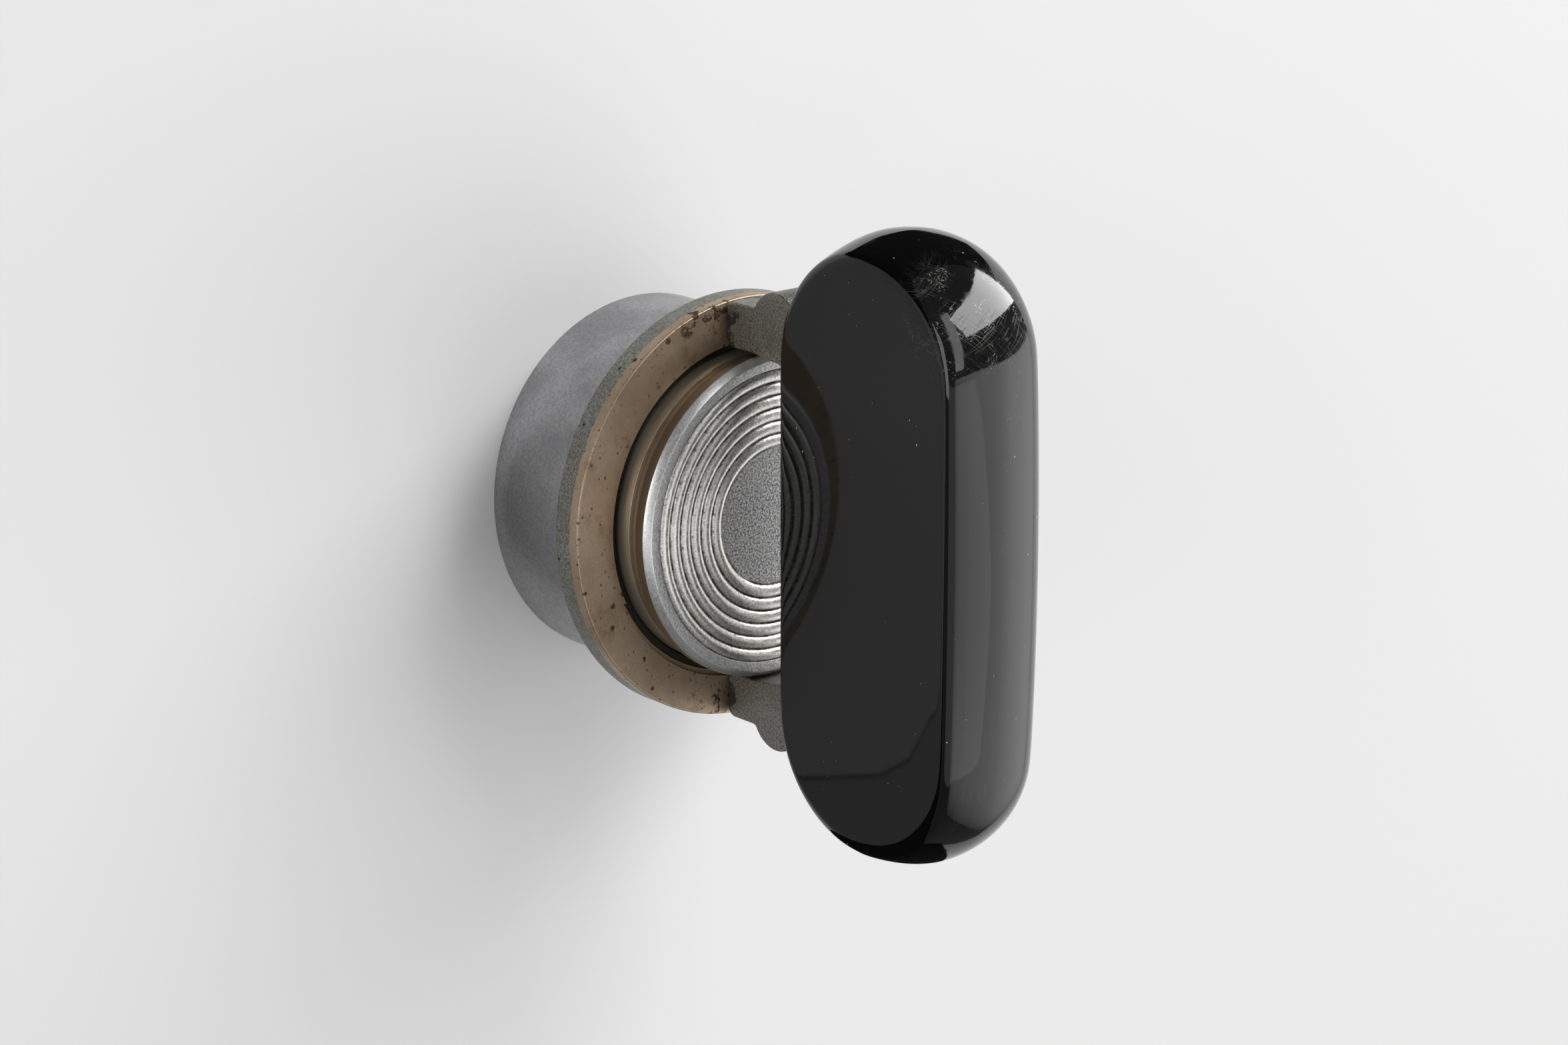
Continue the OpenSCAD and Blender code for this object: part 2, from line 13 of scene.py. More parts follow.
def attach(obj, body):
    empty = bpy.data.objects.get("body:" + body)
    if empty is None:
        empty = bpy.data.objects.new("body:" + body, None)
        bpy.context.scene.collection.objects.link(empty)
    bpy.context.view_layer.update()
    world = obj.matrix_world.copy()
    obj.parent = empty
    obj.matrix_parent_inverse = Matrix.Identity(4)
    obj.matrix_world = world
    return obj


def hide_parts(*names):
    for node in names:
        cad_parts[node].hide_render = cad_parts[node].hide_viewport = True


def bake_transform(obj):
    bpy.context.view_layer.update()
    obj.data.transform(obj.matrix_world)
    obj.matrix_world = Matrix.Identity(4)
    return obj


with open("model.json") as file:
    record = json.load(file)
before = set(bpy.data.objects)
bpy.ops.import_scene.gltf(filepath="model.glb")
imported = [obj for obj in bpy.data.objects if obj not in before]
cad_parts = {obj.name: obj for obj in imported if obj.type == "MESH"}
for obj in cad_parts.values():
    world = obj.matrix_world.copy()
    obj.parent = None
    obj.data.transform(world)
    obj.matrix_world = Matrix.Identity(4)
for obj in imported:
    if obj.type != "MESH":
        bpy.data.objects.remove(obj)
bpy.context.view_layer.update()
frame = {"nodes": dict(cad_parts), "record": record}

MM = 0.001
QUARTER = math.pi / 2
FULL = 2 * math.pi
RIM_Z = 14.0
HINGE = (0.5, 0.0, 21.2)
BEAD_PITCH, BEAD_FIRST = 0.87, 5.135


# ---------------------------------------------------------------- camera

IMAGE_WIDTH = 2352
FOCAL_PX = 6200.0
SENSOR_MM = 36.0
RIGHT = Vector((0.75701, 0.0, 0.65341))
UP = Vector((0.18052, 0.96108, -0.20914))
BACK = Vector((-0.62798, 0.27627, 0.72754))
PLACE = Vector((-170.62, 74.74, 198.81 + RIM_Z)) * MM


def new_object(name, data):
    """An object in the scene."""
    made = bpy.data.objects.new(name, data)
    bpy.context.scene.collection.objects.link(made)
    return made


def facing(right, up, back, place):
    """The matrix of an object at a place, with its X, Y and Z along three directions."""
    return Matrix((
        (right.x, up.x, back.x, place.x),
        (right.y, up.y, back.y, place.y),
        (right.z, up.z, back.z, place.z),
        (0, 0, 0, 1)))


cam_data = bpy.data.cameras.new("camera")
cam_data.sensor_width = SENSOR_MM
cam_data.lens = FOCAL_PX / IMAGE_WIDTH * SENSOR_MM
cam_data.clip_start = 0.005
cam_data.clip_end = 20.0
cam = new_object("camera", cam_data)
cam.matrix_world = facing(RIGHT, UP, BACK, PLACE)
bpy.context.scene.camera = cam


# ---------------------------------------------------------------- mesh helpers

MERGE_MM = 1e-4
SHARP = 32.0
LATHE_STEPS, LATHE_ROUNDING = 240, 3
ROD_SIDES = 64


def mesh_of(bm, name):
    """A mesh made of a bmesh, which is freed."""
    mesh = bpy.data.meshes.new(name)
    bm.to_mesh(mesh)
    bm.free()
    return mesh


def finish_mesh(bm, name, sharp=SHARP):
    """Turns a bmesh in millimetres into an object in metres, smooth but for its sharp edges."""
    bmesh.ops.remove_doubles(bm, verts=bm.verts, dist=MERGE_MM)
    bmesh.ops.recalc_face_normals(bm, faces=bm.faces)
    bmesh.ops.scale(bm, vec=(MM, MM, MM), verts=bm.verts)
    piece = new_object(name, mesh_of(bm, name))
    shade(piece, sharp)
    return piece


def shade(piece, sharp=SHARP):
    """Smooth shading, with every edge over the given angle left sharp."""
    bm = bmesh.new()
    bm.from_mesh(piece.data)
    limit = math.radians(sharp)
    for face in bm.faces:
        face.smooth = True
    for edge in bm.edges:
        edge.smooth = len(edge.link_faces) != 2 or edge.calc_face_angle(0) < limit
    bm.to_mesh(piece.data)
    bm.free()


def even_normals(piece):
    """Lets wide faces lead the shading, so that flats stay flat beside their small roundings."""
    step = piece.modifiers.new("even", "WEIGHTED_NORMAL")
    step.mode = "FACE_AREA"
    step.weight = 100
    step.keep_sharp = True
    apply_modifiers(piece)


def apply_modifiers(piece):
    """Replaces a piece's mesh with what its modifiers make of it."""
    graph = bpy.context.evaluated_depsgraph_get()
    mesh = bpy.data.meshes.new_from_object(piece.evaluated_get(graph))
    piece.modifiers.clear()
    piece.data = mesh


def rounded_profile(bm, points, offsets, segments):
    """A flat profile whose corners are rounded; each rounding starts at the given distance."""
    verts = [bm.verts.new(point) for point in points]
    bm.faces.new(verts)
    for offset in sorted(set(offsets) - {0}):
        bmesh.ops.bevel(bm, geom=[v for v, o in zip(verts, offsets) if o == offset], offset=offset,
                        offset_type="OFFSET", segments=segments, profile=0.5, affect="VERTICES",
                        material=-1)


def bevel_edges(bm, edges, offset, segments):
    """Rounds the edges of a piece."""
    bmesh.ops.bevel(bm, geom=edges, offset=offset, offset_type="OFFSET", segments=segments,
                    profile=0.5, affect="EDGES", material=-1)


def lathe(name, points, offsets):
    """A turned piece: a closed profile of (radius, height), spun round the Z axis."""
    bm = bmesh.new()
    rounded_profile(bm, [(r, 0, z) for r, z in points], offsets, LATHE_ROUNDING)
    bmesh.ops.delete(bm, geom=bm.faces[:], context="FACES_ONLY")
    bmesh.ops.spin(bm, geom=bm.verts[:] + bm.edges[:], cent=(0, 0, 0), axis=(0, 0, 1),
                   angle=FULL, steps=LATHE_STEPS, use_merge=True, use_duplicate=False)
    return finish_mesh(bm, name)


def join(name, pieces, sharp):
    """One piece made of several, which are dropped."""
    bm = bmesh.new()
    for piece in pieces:
        bm.from_mesh(piece.data)
        bpy.data.objects.remove(piece)
    made = new_object(name, mesh_of(bm, name))
    shade(made, sharp)
    return made


def cut(piece, cutters):
    """Takes the cutters out of a piece, and drops them."""
    for cutter in cutters:
        step = piece.modifiers.new("cut", "BOOLEAN")
        step.operation = "DIFFERENCE"
        step.solver = "EXACT"
        step.object = cutter
    apply_modifiers(piece)
    for cutter in cutters:
        bpy.data.objects.remove(cutter)


def block(name, low, high):
    """A plain box between two corners, used as a cutter or as a joined stem."""
    bm = bmesh.new()
    bmesh.ops.create_cube(bm, size=1)
    size = [b - a for a, b in zip(low, high)]
    bmesh.ops.scale(bm, vec=size, verts=bm.verts)
    bmesh.ops.translate(bm, vec=[(a + b) / 2 for a, b in zip(low, high)], verts=bm.verts)
    return finish_mesh(bm, name)


def rod_along_y(name, start, radius, length):
    """A plain rod that starts at a point and runs along Y, used as a cutter."""
    bm = bmesh.new()
    bmesh.ops.create_cone(bm, cap_ends=True, segments=ROD_SIDES, radius1=radius, radius2=radius,
                          depth=length)
    bmesh.ops.translate(bm, vec=(0, 0, length / 2), verts=bm.verts)
    turn = Vector((0, 1, 0)).to_track_quat("Z", "Y").to_matrix()
    bmesh.ops.rotate(bm, cent=(0, 0, 0), matrix=turn, verts=bm.verts)
    bmesh.ops.translate(bm, vec=start, verts=bm.verts)
    return finish_mesh(bm, name)


# ---------------------------------------------------------------- node groups

FLOAT, VECTOR = "NodeSocketFloat", "NodeSocketVector"


def new_group(name, inputs, outputs):
    """A shader node group with named inputs, and outputs that are floats."""
    group = bpy.data.node_groups.new(name, "ShaderNodeTree")
    for label, kind, default in inputs:
        socket = group.interface.new_socket(label, in_out="INPUT", socket_type=kind)
        if default is not None:
            socket.default_value = default
    for label in outputs:
        group.interface.new_socket(label, in_out="OUTPUT", socket_type=FLOAT)
    return group, group.nodes.new("NodeGroupInput"), group.nodes.new("NodeGroupOutput")


class Graph:
    """Short ways to add and link nodes in one tree."""

    def __init__(self, tree):
        self.tree = tree

    def put(self, source, target):
        """Links a socket to another, or sets it to a value."""
        if isinstance(source, bpy.types.NodeSocket):
            self.tree.links.new(source, target)
        else:
            target.default_value = source

    def node(self, kind, **settings):
        made = self.tree.nodes.new(kind)
        for key, value in settings.items():
            setattr(made, key, value)
        return made

    def math(self, op, a, b=None, c=None):
        made = self.node("ShaderNodeMath", operation=op)
        for socket, value in zip(made.inputs, (a, b, c)):
            if value is not None:
                self.put(value, socket)
        return made.outputs[0]

    def times(self, *values):
        made = values[0]
        for value in values[1:]:
            made = self.math("MULTIPLY", made, value)
        return made

    def most(self, *values):
        made = values[0]
        for value in values[1:]:
            made = self.math("MAXIMUM", made, value)
        return made

    def minus(self, a, b):
        return self.math("SUBTRACT", a, b)

    def lift(self, base, mask, amount):
        """A base value, changed by an amount where a mask is one."""
        return self.math("MULTIPLY_ADD", mask, amount, base)

    def ramp(self, value, low, high):
        """Nothing below low, rising to one at high."""
        made = self.node("ShaderNodeMapRange", interpolation_type="SMOOTHSTEP")
        self.put(value, made.inputs["Value"])
        self.put(low, made.inputs["From Min"])
        self.put(high, made.inputs["From Max"])
        return made.outputs["Result"]

    def less(self, value, low, high):
        """One below low, falling to nothing at high."""
        return self.minus(1.0, self.ramp(value, low, high))

    def above(self, value, low, high):
        """A ramp whose two ends are in millimetres."""
        return self.ramp(value, low * MM, high * MM)

    def below(self, value, low, high):
        """A falling ramp whose two ends are in millimetres."""
        return self.less(value, low * MM, high * MM)

    def band(self, value, low, full, fade, high):
        """One from full to fade, nothing below low or above high, all in millimetres."""
        return self.times(self.above(value, low, full), self.below(value, fade, high))

    def mix(self, factor, a, b):
        made = self.node("ShaderNodeMix", data_type="RGBA")
        for value, key in ((factor, 0), (a, 6), (b, 7)):
            self.put(value, made.inputs[key])
        return made.outputs[2]

    def place(self):
        return self.node("ShaderNodeTexCoord").outputs["Object"]

    def apart(self):
        """The X, Y and Z of a point, in metres."""
        made = self.node("ShaderNodeSeparateXYZ")
        self.put(self.place(), made.inputs[0])
        return made.outputs

    def channels(self, hue):
        made = self.node("ShaderNodeSeparateColor")
        self.put(hue, made.inputs[0])
        return made.outputs

    def stretched(self, scale, turn=(0, 0, 0)):
        """Object coordinates, turned and then stretched, so that a pattern can lie at a slant."""
        made = self.node("ShaderNodeMapping", vector_type="TEXTURE")
        self.put(self.place(), made.inputs["Vector"])
        made.inputs["Scale"].default_value = [1 / part for part in scale]
        made.inputs["Rotation"].default_value = turn
        return made.outputs["Vector"]

    def noise(self, scale, detail=2.0, roughness=0.5, vector=None):
        """Noise, its scale in features a metre."""
        made = self.node("ShaderNodeTexNoise")
        for key, value in (("Scale", scale), ("Detail", detail), ("Roughness", roughness)):
            self.put(value, made.inputs[key])
        self.put(vector or self.place(), made.inputs["Vector"])
        return made.outputs["Fac"]

    def patches(self, scale, low, high, detail=2.0, roughness=0.5, vector=None):
        """Noise cut into soft patches, which start at low and are full at high."""
        return self.ramp(self.noise(scale, detail, roughness, vector), low, high)

    def spots(self, scale, vector=None):
        """The distance from scattered points, and each one's own colour."""
        made = self.node("ShaderNodeTexVoronoi", feature="F1")
        self.put(scale, made.inputs["Scale"])
        self.put(vector or self.place(), made.inputs["Vector"])
        return made.outputs["Distance"], made.outputs["Color"]

    def bump(self, height, depth_mm, strength, normal=None):
        made = self.node("ShaderNodeBump")
        self.put(strength, made.inputs["Strength"])
        self.put(depth_mm * MM, made.inputs["Distance"])
        self.put(height, made.inputs["Height"])
        if normal is not None:
            self.put(normal, made.inputs["Normal"])
        return made.outputs["Normal"]


def grain_group():
    """Blasted or frosted metal: fine pits as a height, and a speckle of light and dark."""
    coarser, wider = 0.33, 0.045
    group, given, out = new_group(
        "blasted_grain",
        [("Scale", FLOAT, 9000.0), ("Pits", FLOAT, 0.5)],
        ["Height", "Speckle", "Mottle"])
    g = Graph(group)
    scale = given.outputs["Scale"]
    fine = g.noise(scale, 3.0, 0.65)
    coarse = g.noise(g.times(scale, coarser), 2.0, 0.5)
    wide = g.noise(g.times(scale, wider), 4.0, 0.6)
    g.put(g.lift(fine, coarse, given.outputs["Pits"]), out.inputs["Height"])
    g.put(g.ramp(fine, 0.38, 0.62), out.inputs["Speckle"])
    g.put(g.ramp(wide, 0.35, 0.65), out.inputs["Mottle"])
    return group


def specks_group():
    """Scattered dark specks or pale dust: a mask of small round spots of many sizes."""
    soft_edge, step = 0.6, 1.02
    group, given, out = new_group(
        "specks",
        [("Scale", FLOAT, 2000.0), ("Size", FLOAT, 0.18), ("Cover", FLOAT, 0.5)],
        ["Mask"])
    g = Graph(group)
    distance, hue = g.spots(given.outputs["Scale"])
    pick = g.channels(hue)
    size = g.times(given.outputs["Size"], pick[0])
    dot = g.less(distance, g.times(size, soft_edge), size)
    cover = given.outputs["Cover"]
    chosen = g.ramp(pick[1], g.minus(1.0, cover), g.minus(step, cover))
    g.put(g.times(dot, chosen), out.inputs["Mask"])
    return group


def hairlines_group():
    """Fine hairline scratches that run one way, as a mask broken into short lengths."""
    middle, width = 0.5, 0.012
    patch_scale, patch_low, patch_high = 260.0, 0.62, 0.74
    group, given, out = new_group(
        "hairlines",
        [("Vector", VECTOR, None), ("Cover", FLOAT, 0.3)],
        ["Mask"])
    g = Graph(group)
    lines = g.noise(1.0, 1.0, 0.5, given.outputs["Vector"])
    line = g.less(g.math("ABSOLUTE", g.minus(lines, middle)), 0.0, width)
    cover = given.outputs["Cover"]
    patch = g.patches(patch_scale, g.minus(patch_low, cover), g.minus(patch_high, cover))
    g.put(g.times(line, patch), out.inputs["Mask"])
    return group


def turned_group():
    """Lathe marks: rings round the Z axis, by radius on a face and by height on a rim."""
    group, given, out = new_group(
        "turned",
        [("Pitch", FLOAT, 14000.0), ("By height", FLOAT, 0.0)],
        ["Height", "Radius"])
    g = Graph(group)
    where = g.apart()
    squares = [g.math("POWER", g.math("ABSOLUTE", where[axis]), 2.0) for axis in (0, 1)]
    radius = g.math("SQRT", g.math("ADD", *squares))
    along = g.node("ShaderNodeMix", data_type="FLOAT")
    g.put(given.outputs["By height"], along.inputs[0])
    g.put(radius, along.inputs[2])
    g.put(where[2], along.inputs[3])
    line = g.node("ShaderNodeTexNoise", noise_dimensions="1D")
    g.put(g.times(along.outputs[0], given.outputs["Pitch"]), line.inputs["W"])
    line.inputs["Scale"].default_value = 1.0
    line.inputs["Detail"].default_value = 2.0
    g.put(line.outputs["Fac"], out.inputs["Height"])
    g.put(radius, out.inputs["Radius"])
    return group


GRAIN = grain_group()
SPECKS = specks_group()
HAIRLINES = hairlines_group()
TURNED = turned_group()


def use(g, group, **values):
    """Places a node group in a material with its own values."""
    made = g.node("ShaderNodeGroup")
    made.node_tree = group
    for key, value in values.items():
        g.put(value, made.inputs[key.replace("_", " ")])
    return made.outputs


def specks(g, scale, size, cover):
    return use(g, SPECKS, Scale=scale, Size=size, Cover=cover)["Mask"]


def hairlines(g, scale, turn, cover):
    return use(g, HAIRLINES, Vector=g.stretched(scale, turn), Cover=cover)["Mask"]


def new_material(name, **constants):
    """A material with its Principled shader, whose constant values are set on the shader."""
    material = bpy.data.materials.new(name)
    material.use_nodes = True
    shader = material.node_tree.nodes["Principled BSDF"]
    for key, value in constants.items():
        shader.inputs[key.replace("_", " ")].default_value = value
    return material, Graph(material.node_tree), shader


# ---------------------------------------------------------------- materials

def colour(red, green, blue):
    return (red, green, blue, 1)


def black_moulding():
    """Glossy black moulding with dust, short flecks, hairlines, polishing waves, and one worn end."""
    black, smeared = colour(0.0025, 0.0025, 0.0027), colour(0.008, 0.0075, 0.007)
    scratched, dusty = colour(0.42, 0.41, 0.39), colour(0.62, 0.60, 0.57)
    material, g, shader = new_material("black_moulding", Metallic=0.0, IOR=1.45)
    where = g.apart()
    worn = g.times(g.above(where[1], 12.5, 16.5), g.above(where[2], 28.5, 33))
    dust = specks(g, 1500.0, 0.09, 0.2)
    powder = g.times(g.patches(9000.0, 0.58, 0.65, 2.0, 0.6), worn,
                     g.patches(420.0, 0.52, 0.62, 3.0, 0.6), 0.55)
    flake, hue = g.spots(1.0, g.stretched((2400, 620, 2400), (0.3, 0.2, 0.5)))
    fleck = g.times(g.less(flake, 0.06, 0.12), g.ramp(g.channels(hue)[0], 0.6, 0.64),
                    g.patches(170.0, 0.65, 0.68), 0.8)
    off_the_face = g.times(g.above(where[0], -2.2, -1.2), 0.4)
    along = hairlines(g, (4200, 150, 4200), (0.1, 0.05, 0.2), 0.06)
    across = hairlines(g, (240, 5200, 240), (0.2, 0.5, 0.6), 0.2)
    slant = hairlines(g, (4400, 260, 260), (0.4, 0.3, 0.7), 0.2)
    marks = g.most(g.times(along, off_the_face), g.times(g.most(across, slant), worn))
    pale = g.most(dust, powder, fleck)
    smear = g.times(worn, g.patches(600.0, 0.52, 0.66, 5.0, 0.7))
    base = g.mix(smear, black, smeared)
    base = g.mix(g.times(marks, 0.2), base, scratched)
    base = g.mix(g.times(pale, 0.9), base, dusty)
    rough = g.lift(0.04, g.patches(150.0, 0.45, 0.7, 3.0, 0.6), 0.03)
    rough = g.lift(rough, smear, 0.10)
    rough = g.lift(rough, g.most(pale, g.times(marks, 0.6)), 0.4)
    # Faint waves left by polishing, along the grip's length
    wide = g.noise(1.0, 1.0, 0.4, g.stretched((420, 22, 60)))
    narrow = g.noise(1.0, 1.0, 0.4, g.stretched((1500, 18, 300)))
    waves = g.bump(narrow, 0.02, 0.25, g.bump(wide, 0.06, 0.3))
    relief = g.most(marks, g.times(smear, 0.5), pale)
    g.put(base, shader.inputs["Base Color"])
    g.put(rough, shader.inputs["Roughness"])
    g.put(g.bump(relief, 0.004, 0.6, waves), shader.inputs["Normal"])
    return material


def frosted_dial():
    """Dark blasted flats, light satin beads and chamfer, a painted highlight along the chamfer's inner
    edge, dirt in the grooves, and a browned side.
    """
    flat_dark, flat_light = colour(0.16, 0.16, 0.165), colour(0.62, 0.62, 0.62)
    bead_dark, bead_light = colour(0.68, 0.67, 0.64), colour(0.97, 0.965, 0.94)
    rim_dark, rim_light = colour(0.76, 0.76, 0.76), colour(0.94, 0.94, 0.94)
    pale_ring, painted_edge_highlight = colour(0.88, 0.88, 0.89), colour(0.97, 0.97, 0.96)
    dull, grime, browned = colour(0.50, 0.48, 0.45), colour(0.13, 0.078, 0.033), colour(0.17, 0.125, 0.085)
    material, g, shader = new_material("frosted_dial", Metallic=1.0)
    grain = use(g, GRAIN, Scale=6500.0, Pits=0.15)
    radius = use(g, TURNED, Pitch=16000.0, By_height=0.0)["Radius"]
    height = g.apart()[2]
    beaded = g.band(radius, 4.55, 4.65, 9.88, 9.93)
    flat_ring = g.band(radius, 9.9, 9.95, 10.5, 10.56)
    chamfer = g.above(radius, 10.55, 10.58)
    # Painted highlight: a thin band of lighter colour along the chamfer's inner edge stands in for a glint
    line = g.times(chamfer, g.below(radius, 10.60, 10.66))
    side = g.times(g.above(radius, 10.9, 10.95), g.below(height, 13.95, 13.985))
    flats = g.mix(grain["Speckle"], flat_dark, flat_light)
    lights = g.mix(grain["Speckle"], bead_dark, bead_light)
    rim = g.mix(grain["Speckle"], rim_dark, rim_light)
    base = g.mix(chamfer, g.mix(beaded, flats, lights), rim)
    base = g.mix(g.times(grain["Mottle"], 0.2), base, dull)
    base = g.mix(g.times(flat_ring, 0.45), base, pale_ring)
    base = g.mix(line, base, painted_edge_highlight)
    # Grooves lie half a pitch off the beads, and hold lines and dots of dirt
    turn = g.math("DIVIDE", g.minus(radius, BEAD_FIRST * MM), BEAD_PITCH * MM)
    groove = g.math("ABSOLUTE", g.minus(g.math("FRACT", turn), 0.5))
    ring = g.times(g.less(groove, 0.05, 0.13), g.lift(0.15, g.patches(900.0, 0.38, 0.6, 3.0, 0.7), 0.75))
    dots = g.times(g.less(groove, 0.06, 0.3), g.patches(3400.0, 0.58, 0.64, 2.0, 0.6), 0.9)
    dirt = g.times(g.most(ring, dots), beaded)
    base = g.mix(dirt, base, grime)
    base = g.mix(side, base, browned)
    rough = g.lift(0.46, g.most(beaded, chamfer), -0.16)
    strength = g.lift(0.8, g.most(beaded, g.times(chamfer, 1.7)), -0.4)
    g.put(base, shader.inputs["Base Color"])
    g.put(g.minus(1.0, g.most(g.times(dirt, 0.8), g.times(side, 0.25))), shader.inputs["Metallic"])
    g.put(g.lift(rough, grain["Speckle"], 0.08), shader.inputs["Roughness"])
    g.put(g.bump(grain["Height"], 0.06, strength), shader.inputs["Normal"])
    return material


def blasted_fork():
    """Olive grey blasted metal with sparkle, black pits, dark patches that gather low by the plate, and
    painted shade in the gap between the drum and the plate.
    """
    dark, light = colour(0.14, 0.14, 0.122), colour(0.325, 0.32, 0.288)
    dull, grime = colour(0.13, 0.125, 0.105), colour(0.03, 0.026, 0.018)
    material, g, shader = new_material("blasted_fork", Metallic=0.75)
    grain = use(g, GRAIN, Scale=6500.0, Pits=0.6)
    pits = specks(g, 1500.0, 0.3, 0.17)
    height = g.apart()[2]
    radius = use(g, TURNED, Pitch=9000.0, By_height=0.0)["Radius"]
    # Dark patches, more of them low on the posts near the plate
    foot = g.band(height, 11.0, 11.1, 11.4, 13.2)
    dirt = g.times(g.patches(650.0, g.lift(0.68, foot, -0.2), g.lift(0.74, foot, -0.2), 4.0, 0.65), 0.85)
    # Painted shade: the fork's top between the drum and the plate's inner edge is darkened with the grime
    # colour; from here dirt also carries this painted shade
    painted_gap_shade = g.times(g.band(height, 10.45, 10.49, 11.0, 11.1), g.below(radius, 11.3, 11.4))
    dirt = g.most(dirt, painted_gap_shade)
    base = g.mix(grain["Speckle"], dark, light)
    base = g.mix(g.times(grain["Mottle"], 0.35), base, dull)
    base = g.mix(g.most(g.times(pits, 0.85), dirt), base, grime)
    g.put(base, shader.inputs["Base Color"])
    g.put(g.lift(0.4, g.most(dirt, pits), 0.3), shader.inputs["Roughness"])
    g.put(g.bump(g.minus(grain["Height"], pits), 0.08, 0.6), shader.inputs["Normal"])
    return material


def tan_plate():
    """Smooth tan metal with clusters of reddish dark specks, dark patches in front of the posts and brown
    stains.
    """
    dark, light = colour(0.335, 0.242, 0.16), colour(0.43, 0.325, 0.228)
    speckled, stained = colour(0.43, 0.345, 0.26), colour(0.19, 0.125, 0.055)
    fibrous, rusty = colour(0.10, 0.065, 0.035), colour(0.05, 0.024, 0.012)
    material, g, shader = new_material("tan_plate", Metallic=0.7)
    grain = use(g, GRAIN, Scale=6000.0, Pits=0.5)
    cluster = g.patches(330.0, 0.42, 0.54)
    large = specks(g, 800.0, 0.34, 0.35)
    middling = specks(g, 1500.0, 0.4, 0.5)
    small = specks(g, 2700.0, 0.42, 0.4)
    spots = g.most(large, g.times(middling, cluster), g.times(small, 0.75))
    fibres = hairlines(g, (900, 900, 900), (0, 0, 0), 0.08)
    where = g.apart()
    # Dark patches on the plate in front of the posts
    by_post = g.times(g.above(g.math("ABSOLUTE", where[1]), 11.9, 12.4),
                      g.band(where[0], -7, -5, -1.6, -1.3))
    dark_by_post = g.times(by_post, g.patches(1000.0, 0.54, 0.6, 3.0, 0.65))
    stain = g.times(g.patches(420.0, 0.54, 0.72, 4.0, 0.65), 0.6)
    base = g.mix(grain["Mottle"], dark, light)
    base = g.mix(g.times(grain["Speckle"], 0.25), base, speckled)
    base = g.mix(stain, base, stained)
    base = g.mix(g.times(fibres, 0.6), base, fibrous)
    spots = g.most(spots, dark_by_post)
    base = g.mix(g.times(spots, 0.92), base, rusty)
    g.put(base, shader.inputs["Base Color"])
    g.put(g.lift(0.38, spots, 0.3), shader.inputs["Roughness"])
    g.put(g.bump(g.minus(grain["Height"], spots), 0.03, 0.35), shader.inputs["Normal"])
    return material


def brown_drum():
    """Brown turned metal with paler blotches, a worn bright line along the groove's lip, and painted light
    on the band below the groove.
    """
    dark, light, dull = colour(0.36, 0.295, 0.225), colour(0.54, 0.46, 0.37), colour(0.27, 0.21, 0.15)
    blotched, painted_light_low = colour(0.55, 0.42, 0.29), colour(0.64, 0.58, 0.47)
    silvery, coppery = colour(0.80, 0.76, 0.66), colour(0.86, 0.50, 0.28)
    lip_z = 12.12
    material, g, shader = new_material("brown_drum", Metallic=0.85)
    grain = use(g, GRAIN, Scale=3000.0, Pits=0.5)
    turned = use(g, TURNED, Pitch=9000.0, By_height=1.0)
    height = g.apart()[2]
    blotch = g.patches(1.0, 0.5, 0.72, 4.0, 0.65, g.stretched((420, 420, 1500)))
    base = g.mix(g.ramp(turned["Height"], 0.35, 0.68), dark, light)
    base = g.mix(g.times(grain["Mottle"], 0.45), base, dull)
    base = g.mix(g.times(blotch, 0.7), base, blotched)
    # Painted light: the band below the groove is paler, to make up for the shade it sits in between the
    # dial and the plate
    base = g.mix(g.times(g.below(height, 12.06, 12.1), 0.6), base, painted_light_low)
    lip = g.below(g.math("ABSOLUTE", g.minus(height, lip_z * MM)), 0.02, 0.045)
    lip = g.times(lip, g.lift(0.15, g.patches(240.0, 0.5, 0.58, 3.0, 0.6), 0.75))
    base = g.mix(lip, base, g.mix(g.patches(130.0, 0.45, 0.56), silvery, coppery))
    g.put(base, shader.inputs["Base Color"])
    g.put(g.lift(0.34, grain["Mottle"], 0.12), shader.inputs["Roughness"])
    g.put(g.bump(turned["Height"], 0.03, 0.5), shader.inputs["Normal"])
    return material


def plain_metal(name, dark, light, rough, turned=False):
    """Machined metal with fine tool marks and a little grime."""
    grime_shade = 0.6
    material, g, shader = new_material(name, Metallic=1.0)
    grain = use(g, GRAIN, Scale=5000.0, Pits=0.5)
    base = g.mix(grain["Speckle"], dark, light)
    base = g.mix(g.times(grain["Mottle"], 0.35), base, colour(*(part * grime_shade for part in dark[:3])))
    marks = use(g, TURNED, Pitch=9000.0, By_height=0.0)["Height"] if turned else grain["Height"]
    g.put(base, shader.inputs["Base Color"])
    g.put(g.lift(rough, grain["Mottle"], 0.12), shader.inputs["Roughness"])
    g.put(g.bump(marks, 0.03, 0.35), shader.inputs["Normal"])
    return material


FINISHES = {
    "black_moulding": black_moulding(),
    "frosted_dial": frosted_dial(),
    "blasted_fork": blasted_fork(),
    "tan_plate": tan_plate(),
    "brown_drum": brown_drum(),
    "bright_steel": plain_metal("bright_steel", colour(0.46, 0.46, 0.45), colour(0.60, 0.60, 0.59), 0.26),
    "spring_steel": plain_metal("spring_steel", colour(0.06, 0.075, 0.10), colour(0.10, 0.12, 0.16), 0.25),
    "bearing_brass": plain_metal("bearing_brass", colour(0.50, 0.36, 0.15), colour(0.66, 0.50, 0.24), 0.28),
    "housing_alloy": plain_metal("housing_alloy", colour(0.36, 0.36, 0.37), colour(0.47, 0.47, 0.48), 0.36,
                                 turned=True),
}


def dress(piece, slot):
    """Gives a piece its finish."""
    piece.data.materials.clear()
    piece.data.materials.append(FINISHES[slot])


def stand_in(piece, slot, node):
    """Gives a new piece its finish, and hides the node it stands for."""
    dress(piece, slot)
    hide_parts(node)


# ---------------------------------------------------------------- grip

